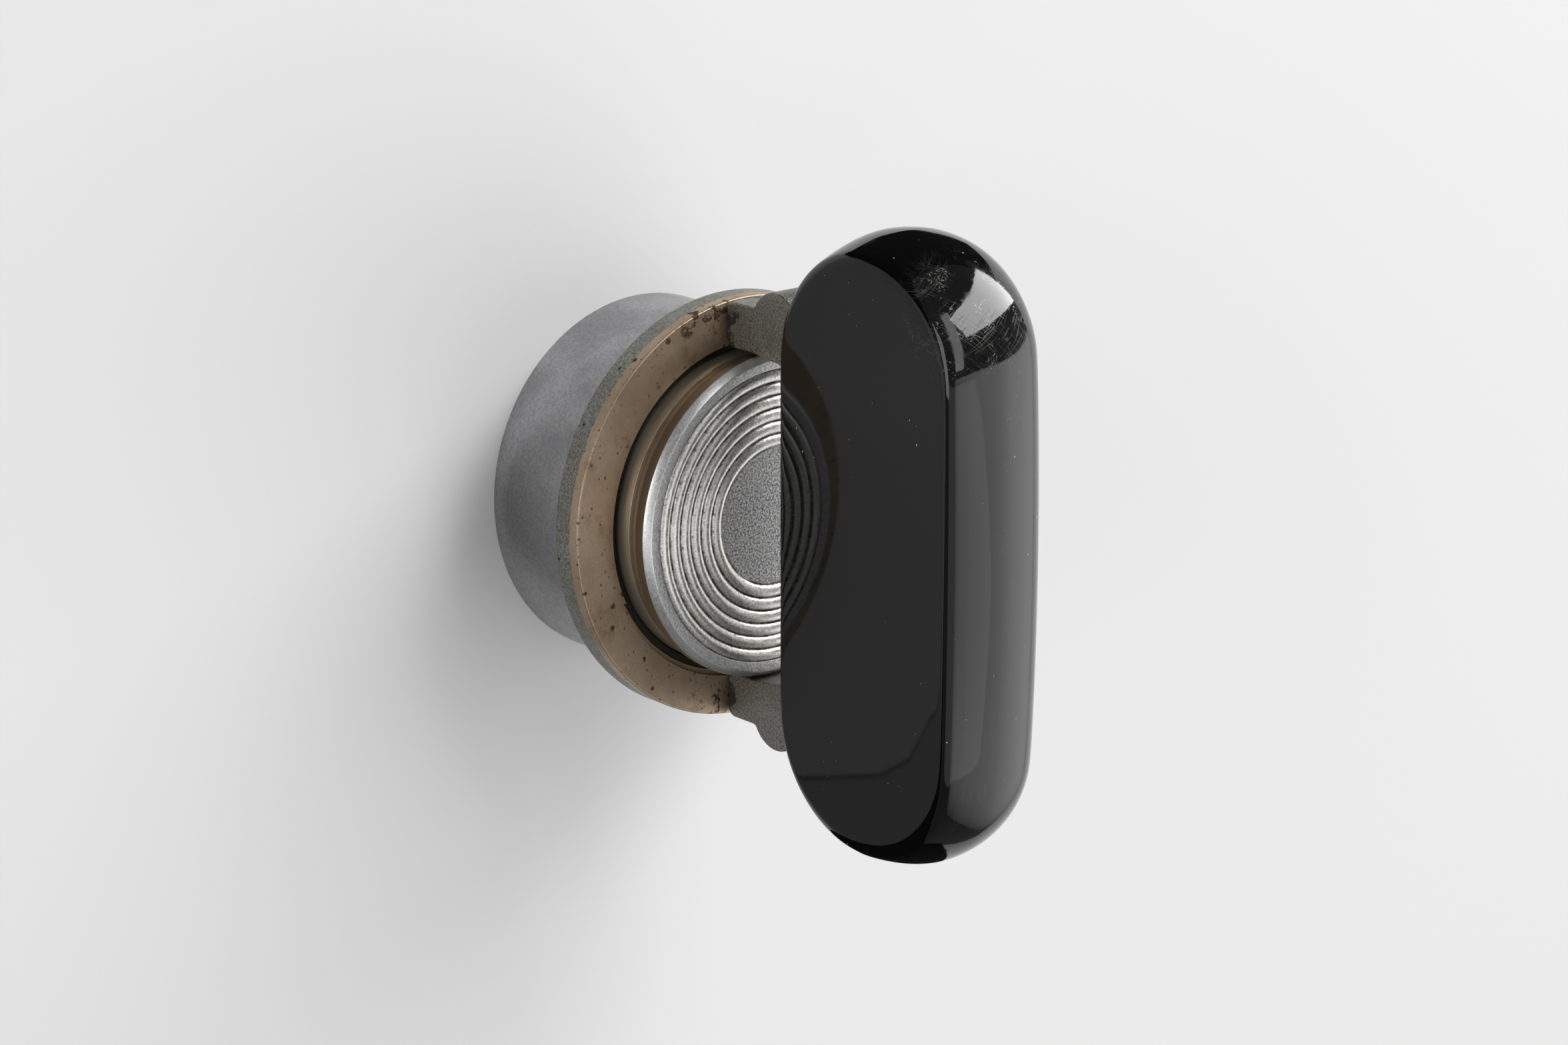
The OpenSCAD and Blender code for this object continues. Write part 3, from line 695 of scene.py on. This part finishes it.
FACE_X, ARCH_X, BACK_X = -3.0, 1.2, 7.0
WALL_X = (-1.9, -1.2, -0.4, 0.4)
GRIP_LOW, GRIP_HIGH, GRIP_HALF = 17.85, 34.2, 20.95
GRIP_BOW, BOW_LOSS, BOW_CURVE = 0.9, 0.8, 1.5
FACE_EDGE, FACE_EDGE_STEPS, END_EDGE = 0.5, 4, 1.7
END_LEAN, END_SWEEP = 1.3, 4.0
EDGE_LEAN, EDGE_SWEEP, LOW_EDGE_SHARE = 0.3, 5.0, 0.6
LEAN_CURVE = 1.7
CORNER_R, CORNER_LEAN, CORNER_FALL = 8.1, 0.4, 0.3
BACK_ANGLES = range(0, 91, 9)
POCKET_LOW, POCKET_HIGH = (-1.65, -10.49, 10), (2.65, 10.49, 23.35)
SLOT_INNER, SLOT_OUTER, SLOT_FRONT, SLOT_R, SLOT_LAP = 10.48, 15.8, -1.85, 2.35, 0.5
PAST_BACK, UNDER_GRIP = 20, 10


def grip_stations():
    """(x, inset at the ends, inset at the edges, corner radius, bow) from the flat face to the back."""
    angles = [i / FACE_EDGE_STEPS * QUARTER for i in range(FACE_EDGE_STEPS + 1)]
    places = [(FACE_X + FACE_EDGE * (1 - math.cos(a)), FACE_EDGE * (1 - math.sin(a))) for a in angles]
    places += [(x, 0.0) for x in WALL_X]
    places += [(ARCH_X + (BACK_X - ARCH_X) * math.sin(math.radians(a)), 0.0) for a in BACK_ANGLES]
    made = []
    for x, edge in places:
        lean = max(0.0, (ARCH_X - x) / (ARCH_X - FACE_X))
        fall = max(0.0, (x - ARCH_X) / (BACK_X - ARCH_X))
        sweep = 1 - math.sqrt(max(0.0, 1 - fall ** 2))
        end_in = END_EDGE * edge + END_LEAN * lean ** LEAN_CURVE + END_SWEEP * sweep
        edge_in = edge + EDGE_LEAN * lean ** LEAN_CURVE + EDGE_SWEEP * sweep
        corner = CORNER_R - CORNER_LEAN * lean - CORNER_FALL * fall ** 2
        made.append((x, end_in, edge_in, corner, GRIP_BOW * (1 - BOW_LOSS * lean ** BOW_CURVE)))
    return made


def grip_outline(bm, x, half, low, high, corner, bow):
    """One rounded outline of the grip across X, bowed up along its outer edge; gives its face."""
    least_flat, long_edge = 0.3, 10
    corners = [bm.verts.new((x, y, z)) for y, z in ((-half, low), (half, low), (half, high), (-half, high))]
    bm.faces.new(corners)
    bmesh.ops.bevel(bm, geom=corners, offset=min(corner, (high - low) / 2 - least_flat),
                    offset_type="OFFSET", segments=8, profile=0.5, affect="VERTICES", material=-1)
    face = next(f for f in bm.faces if abs(f.calc_center_median().x - x) < 1e-3 and len(f.verts) > 8)
    bmesh.ops.bisect_edges(bm, edges=[e for e in face.edges if e.calc_length() > long_edge], cuts=5)
    middle = (low + high) / 2
    for vert in face.verts:
        lift = min(1.0, max(0.0, (vert.co.z - middle) / (high - middle)))
        vert.co.z += bow * lift * (1 - (vert.co.y / GRIP_HALF) ** 2)
    return face


def make_grip():
    """The grip: outlines bridged from face to back, smoothed, and cut out for the hinge and posts."""
    bm = bmesh.new()
    loops = []
    for x, end_in, edge_in, corner, bow in grip_stations():
        low, high = GRIP_LOW + edge_in * LOW_EDGE_SHARE, GRIP_HIGH - edge_in
        face = grip_outline(bm, x, GRIP_HALF - end_in, low, high, corner, bow)
        loops.append(list(face.edges))
        if x not in (FACE_X, BACK_X):
            bmesh.ops.delete(bm, geom=[face], context="FACES_ONLY")
    for near, far in zip(loops, loops[1:]):
        bmesh.ops.bridge_loops(bm, edges=near + far)
    for cap in [f for f in bm.faces if len(f.verts) > 8]:
        bmesh.ops.inset_region(bm, faces=[cap], thickness=0.3, use_even_offset=True)
    piece = finish_mesh(bm, "grip_moulding", sharp=60)
    smooth = piece.modifiers.new("smooth", "SUBSURF")
    smooth.levels = smooth.render_levels = 2
    apply_modifiers(piece)
    x, _, z = HINGE
    cutters = [block("pocket", POCKET_LOW, POCKET_HIGH)]
    for side in (-1, 1):
        inner, outer = sorted((side * SLOT_INNER, side * SLOT_OUTER))
        cutters.append(block("slot", (SLOT_FRONT, inner, UNDER_GRIP), (PAST_BACK, outer, z)))
        cutters.append(block("slot_top", (x, inner, z - SLOT_LAP), (PAST_BACK, outer, z + SLOT_R)))
        cutters.append(rod_along_y("slot_round", (x, inner, z), SLOT_R, outer - inner))
    cut(piece, cutters)
    shade(piece, 40)
    return piece


# ---------------------------------------------------------------- dial and drum

DIAL_R, DIAL_LOW, FLAT_Z = 11.0, 13.2, 14.42
CHAMFER_R, FLAT_INNER = 10.57, 9.92
SKIRT_INNER, SKIRT_OUTER, SKIRT_LOW = 8.83, 9.73, 12.5
BEAD_COUNT, BEAD_R, BEAD_Z, BEAD_SPAN, BEAD_STEPS = 6, 0.5, 14.05, 52, 4
GROOVE_Z, INNER_GROOVE_Z, CENTRE_R, CENTRE_Z = 14.2, 14.16, 4.56, 14.3
DRUM_R, DRUM_LOW, DRUM_HOLE, DRUM_WALL, DRUM_WEB = 10.65, 10.5, 6.6, 9.75, 11.4
DRUM_GROOVE_LOW, DRUM_GROOVE_HIGH, DRUM_GROOVE_R = 12.15, 12.29, 10.55


def make_dial():
    """The dial: a chamfered rim, a flat ring, round beads with fine grooves and a flat centre."""
    points = [(0, DIAL_LOW), (SKIRT_INNER, DIAL_LOW), (SKIRT_INNER, SKIRT_LOW), (SKIRT_OUTER, SKIRT_LOW),
              (SKIRT_OUTER, DIAL_LOW), (DIAL_R, DIAL_LOW), (DIAL_R, RIM_Z), (CHAMFER_R, FLAT_Z),
              (FLAT_INNER, FLAT_Z)]
    offsets = [0, 0, 0, 0, 0, 0.06, 0.05, 0.04, 0.05]
    for i in reversed(range(BEAD_COUNT)):
        middle = BEAD_FIRST + i * BEAD_PITCH
        points.append((middle + BEAD_PITCH / 2, GROOVE_Z))
        for step in range(2 * BEAD_STEPS + 1):
            a = math.radians(BEAD_SPAN * (1 - step / BEAD_STEPS))
            points.append((middle + BEAD_R * math.sin(a), BEAD_Z + BEAD_R * math.cos(a)))
    points += [(BEAD_FIRST - BEAD_PITCH / 2, INNER_GROOVE_Z), (CENTRE_R, CENTRE_Z), (0, CENTRE_Z)]
    offsets += [0] * (len(points) - len(offsets))
    return lathe("dial_disc", points, offsets)


def make_drum():
    """The turned drum under the dial, with its fine groove."""
    points = [(DRUM_HOLE, DRUM_LOW), (DRUM_R, DRUM_LOW), (DRUM_R, DRUM_GROOVE_LOW),
              (DRUM_GROOVE_R, DRUM_GROOVE_LOW), (DRUM_GROOVE_R, DRUM_GROOVE_HIGH),
              (DRUM_R, DRUM_GROOVE_HIGH), (DRUM_R, DIAL_LOW), (DRUM_WALL, DIAL_LOW),
              (DRUM_WALL, DRUM_WEB), (DRUM_HOLE, DRUM_WEB)]
    return lathe("drum_body", points, [0, 0, 0.03, 0, 0, 0.03, 0, 0, 0, 0])


# ---------------------------------------------------------------- ring plate and fork

PLATE_LOW, PLATE_TOP = 10.5, 11.3
PLATE_INNER, PLATE_OUTER = 11.25, 14.25
STEM_INNER, STEM_OUTER, STEM_FRONT, STEM_LOW, STEM_TOP = 11.75, 13.5, -0.9, 10.0, 11.9
STEM_ROOM = 0.1
RELIEF_INNER, RELIEF_DEPTH, RELIEF_LOW, RELIEF_FROM, RELIEF_TO = 10.2, 0.35, 10.95, 205, 263
OVER_PLATE = 12
POST_FRONT, POST_BACK = -1.7, 2.7
POST_INNER, POST_OUTER, HEAD_INNER, HEAD_LOW = 11.15, 14.25, 10.73, 17.8
POST_LOW, POST_TOP, POST_TOP_R, POST_EDGE = 11.4, 23.4, 2.15, 0.13
EAR_Y, EAR_Z, EAR_R, EAR_STEPS = 13.25, 16.2, 2.3, 8
PIN_BORE_R, PIN_BORE_INNER, PIN_BORE_OUTER = 0.93, 10, 15.6
BASE_LOW, SHOULDER_INNER, SHOULDER_OUTER, SHOULDER_TOP = 9.0, 10.75, 11.23, 10.9
SQUARE_HALF = 2.51


def part_ring(name, inner, outer, low, high, start, end):
    """A stretch of a square-edged ring between two angles, used as a cutter."""
    bm = bmesh.new()
    corners = ((inner, low), (outer, low), (outer, high), (inner, high))
    bm.faces.new([bm.verts.new((r, 0, z)) for r, z in corners])
    bmesh.ops.spin(bm, geom=bm.verts[:] + bm.edges[:] + bm.faces[:], cent=(0, 0, 0), axis=(0, 0, 1),
                   angle=math.radians(end - start), steps=40, use_merge=False, use_duplicate=False)
    bmesh.ops.rotate(bm, cent=(0, 0, 0), matrix=Matrix.Rotation(math.radians(start), 3, "Z"),
                     verts=bm.verts)
    return finish_mesh(bm, name)


def make_plate():
    """The flat ring plate, slotted round the fork's stems and relieved along part of its inner edge."""
    plate = lathe("plate_ring", [(PLATE_INNER, PLATE_LOW), (PLATE_OUTER, PLATE_LOW),
                                 (PLATE_OUTER, PLATE_TOP), (PLATE_INNER, PLATE_TOP)], [0, 0, 0.1, 0.07])
    cutters = [part_ring("relief", RELIEF_INNER, PLATE_INNER + RELIEF_DEPTH, RELIEF_LOW, OVER_PLATE,
                         RELIEF_FROM, RELIEF_TO)]
    for side in (1, -1):
        inner, outer = sorted((side * (STEM_INNER - STEM_ROOM), side * (STEM_OUTER + STEM_ROOM)))
        cutters.append(block("stem_slot", (STEM_FRONT - STEM_ROOM, inner, STEM_LOW),
                             (POST_BACK + STEM_ROOM, outer, OVER_PLATE)))
    cut(plate, cutters)
    shade(plate)
    return plate


def across_post(edge):
    """Whether an edge lies in a plane across the post's depth."""
    near, far = edge.verts
    return abs(near.co.x - far.co.x) < 1e-3


def make_post(side):
    """One post of the fork, with its round ear, rounded over the hinge at the top."""
    swing = math.acos((POST_OUTER - EAR_Y) / EAR_R)
    angles = [swing * (i / EAR_STEPS - 1) for i in range(2 * EAR_STEPS + 1)]
    ear = [(EAR_Y + EAR_R * math.cos(a), EAR_Z + EAR_R * math.sin(a)) for a in angles]
    outline = [(POST_INNER, POST_LOW), (POST_OUTER, POST_LOW)] + ear + [
        (POST_OUTER, POST_TOP), (HEAD_INNER, POST_TOP), (HEAD_INNER, HEAD_LOW), (POST_INNER, RIM_Z)]
    offsets = [0.6, 0.6, 0.2] + [0] * (len(ear) - 2) + [0.2, 0, 0, 0, 0]
    bm = bmesh.new()
    rounded_profile(bm, [(POST_FRONT, side * y, z) for y, z in outline], offsets, 5)
    made = bmesh.ops.extrude_face_region(bm, geom=bm.faces[:])
    bmesh.ops.translate(bm, vec=(POST_BACK - POST_FRONT, 0, 0),
                        verts=[v for v in made["geom"] if isinstance(v, bmesh.types.BMVert)])
    bmesh.ops.recalc_face_normals(bm, faces=bm.faces)
    bevel_edges(bm, [e for e in bm.edges if all(abs(v.co.z - POST_TOP) < 1e-3 for v in e.verts)
                     and across_post(e)], POST_TOP_R, 10)
    bevel_edges(bm, [e for e in bm.edges if e.calc_face_angle(0) > math.radians(60)
                     and across_post(e)], POST_EDGE, 3)
    post = finish_mesh(bm, "post", 40)
    low, high = sorted((side * PIN_BORE_INNER, side * PIN_BORE_OUTER))
    cut(post, [rod_along_y("pin_bore", (HINGE[0], low, HINGE[2]), PIN_BORE_R, high - low)])
    return post


def make_fork():
    """The fork: a round base with a raised shoulder, and two posts on stems."""
    base = lathe("fork_base", [(0, BASE_LOW), (POST_OUTER, BASE_LOW), (POST_OUTER, PLATE_LOW),
                               (SHOULDER_OUTER, PLATE_LOW), (SHOULDER_OUTER, SHOULDER_TOP),
                               (SHOULDER_INNER, SHOULDER_TOP), (SHOULDER_INNER, PLATE_LOW), (0, PLATE_LOW)],
                 [0, 0.15, 0, 0, 0.05, 0.05, 0, 0])
    cut(base, [block("square", (-SQUARE_HALF, -SQUARE_HALF, 8), (SQUARE_HALF, SQUARE_HALF, OVER_PLATE))])
    pieces = [base, make_post(1), make_post(-1)]
    for side in (1, -1):
        inner, outer = sorted((side * STEM_INNER, side * STEM_OUTER))
        pieces.append(block("stem", (STEM_FRONT, inner, STEM_LOW), (POST_BACK, outer, STEM_TOP)))
    return join("fork_body", pieces, 40)


# ---------------------------------------------------------------- leaf spring

LEAF_CUTS, LEAF_CUT_FIRST, LEAF_CUT_PITCH = 25, 3.1, 0.25


def make_leaf_spring():
    """The click's leaf spring, its leaf cut across into short lengths."""
    bm = bmesh.new()
    bm.from_mesh(frame["nodes"]["click_spring"].data)
    bmesh.ops.remove_doubles(bm, verts=bm.verts, dist=MERGE_MM * MM)
    bmesh.ops.scale(bm, vec=(1 / MM, 1 / MM, 1 / MM), verts=bm.verts)
    for step in range(LEAF_CUTS):
        bmesh.ops.bisect_plane(bm, geom=bm.verts[:] + bm.edges[:] + bm.faces[:],
                               plane_co=(LEAF_CUT_FIRST - LEAF_CUT_PITCH * step, 0, 0),
                               plane_no=(1, 0, 0))
    return finish_mesh(bm, "leaf_spring", 30)


# ---------------------------------------------------------------- pieces on their bodies

grip = make_grip()
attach(grip, "key")
stand_in(grip, "black_moulding", "grip")

leaf = make_leaf_spring()
even_normals(leaf)
stand_in(leaf, "spring_steel", "click_spring")
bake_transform(leaf)

for make, slot, node in ((make_dial, "frosted_dial", "ringed_dial"), (make_drum, "brown_drum", "drum_ring"),
                         (make_plate, "tan_plate", "ring_plate"), (make_fork, "blasted_fork", "key_fork")):
    piece = make()
    even_normals(piece)
    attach(piece, "winder")
    stand_in(piece, slot, node)

slots = {part["node"]: part["material_slot"] for part in frame["record"]["subparts"]}
for name, node in frame["nodes"].items():
    if name in slots:
        dress(node, slots[name])


# ---------------------------------------------------------------- studio

LAMP_DISTANCE = 0.55
WORLD_STRENGTH = 0.16
FLOOR_HALF, FLOOR_GREY, FLOOR_GLOW = 0.4, 0.59, 0.06
WHITE = colour(1, 1, 1)
CARD_Z = 0.5
# The edge between the grey and the dark card, from far to near, and how wide the line on it is
CARD_EDGE = [(-60, -16), (-33, -23.5), (-31, -26.2), (-28, -26.8), (-21, -25.4), (-13, -24.7)]
CARD_LINE = 0.4


def area_light(name, towards, along, size, radiance, spread=180, shift=(0, 0)):
    """A soft lamp that looks at the dial, its width laid along a direction; its spread fades its edges,
    and a shift slides it in its own plane."""
    data = bpy.data.lights.new(name, "AREA")
    data.shape = "RECTANGLE"
    data.size, data.size_y = size
    data.spread = math.radians(spread)
    half = math.radians(min(spread, 179) / 2)
    data.energy = radiance * math.pi * size[0] * size[1] * (1 - half / math.tan(half))
    lamp = new_object(name, data)
    lamp.visible_camera = False
    out = Vector(towards).normalized()
    wide = Vector(along)
    wide = (wide - wide.dot(out) * out).normalized()
    high = out.cross(wide)
    centre = Vector((0, 0, RIM_Z * MM)) + out * LAMP_DISTANCE + wide * shift[0] + high * shift[1]
    lamp.matrix_world = facing(wide, high, out, centre)


def make_floor():
    """The pale floor, which glows a little where it is seen, mirrored or looked at through glass."""
    bm = bmesh.new()
    bmesh.ops.create_grid(bm, x_segments=1, y_segments=1, size=FLOOR_HALF)
    floor = new_object("floor", mesh_of(bm, "floor"))
    material, g, shader = new_material("floor_white", Roughness=0.9, Metallic=0.0, Specular_IOR_Level=0.0,
                                       Base_Color=colour(FLOOR_GREY, FLOOR_GREY, FLOOR_GREY),
                                       Emission_Color=WHITE)
    rays = g.node("ShaderNodeLightPath").outputs
    seen = g.most(rays["Is Camera Ray"], rays["Is Glossy Ray"], rays["Is Transmission Ray"])
    g.put(g.times(seen, FLOOR_GLOW), shader.inputs["Emission Strength"])
    floor.data.materials.append(material)


def make_card(name, outline, grey):
    """A flat card beside the object that only shows in its reflections, as a studio's flags do."""
    bm = bmesh.new()
    bm.faces.new([bm.verts.new((x, y, CARD_Z)) for x, y in outline])
    card = finish_mesh(bm, name)
    material = new_material(name, Roughness=1.0, Metallic=0.0, Specular_IOR_Level=0.0,
                            Base_Color=colour(grey, grey, grey))[0]
    card.data.materials.append(material)
    card.visible_camera = card.visible_diffuse = card.visible_shadow = False


def make_world():
    world = bpy.data.worlds.new("studio")
    world.use_nodes = True
    bpy.context.scene.world = world
    back = world.node_tree.nodes["Background"]
    back.inputs["Color"].default_value = WHITE
    back.inputs["Strength"].default_value = WORLD_STRENGTH


make_floor()
make_world()
make_card("flag_right", [(-300, 32), (44, 32), (600, 310), (600, 900), (-300, 900)], 0.01)
make_card("flag_left", [(-300, -900), (340, -900), (28, -36), (-300, -36)], 0.01)
under_line = [(x, y - CARD_LINE) for x, y in CARD_EDGE]
make_card("grey_card", [(-60, 32), *CARD_EDGE, (-13, 32)], 0.43)
make_card("line_card", [CARD_EDGE[0], *under_line, *CARD_EDGE[:0:-1]], 0.18)
make_card("dark_card", [under_line[0], (-60, -36), (-13, -36), *under_line[:0:-1]], 0.32)
area_light("overhead", towards=(0.75, -0.13, 0.65), along=(0.65, 0, -0.75), size=(1.25, 0.85),
           radiance=2.8, spread=112, shift=(-0.1, -0.32))
area_light("end_light", towards=(0.707, 0.63, 0.32), along=(0.576, -0.25, -0.779), size=(0.95, 0.24),
           radiance=9)
area_light("strip_light", towards=(0.09, 0.52, 0.84), along=(0.08, -0.67, 0.43), size=(0.46, 0.06),
           radiance=3.0)
area_light("fill_light", towards=(-0.35, -0.3, 0.9), along=(1, 0, 0.38), size=(0.95, 0.3), radiance=0.6)
area_light("side_light", towards=(-0.93, 0.15, 0.32), along=(0, 1, 0), size=(0.34, 0.24), radiance=3.0)
bpy.context.scene.view_settings.view_transform = "Standard"
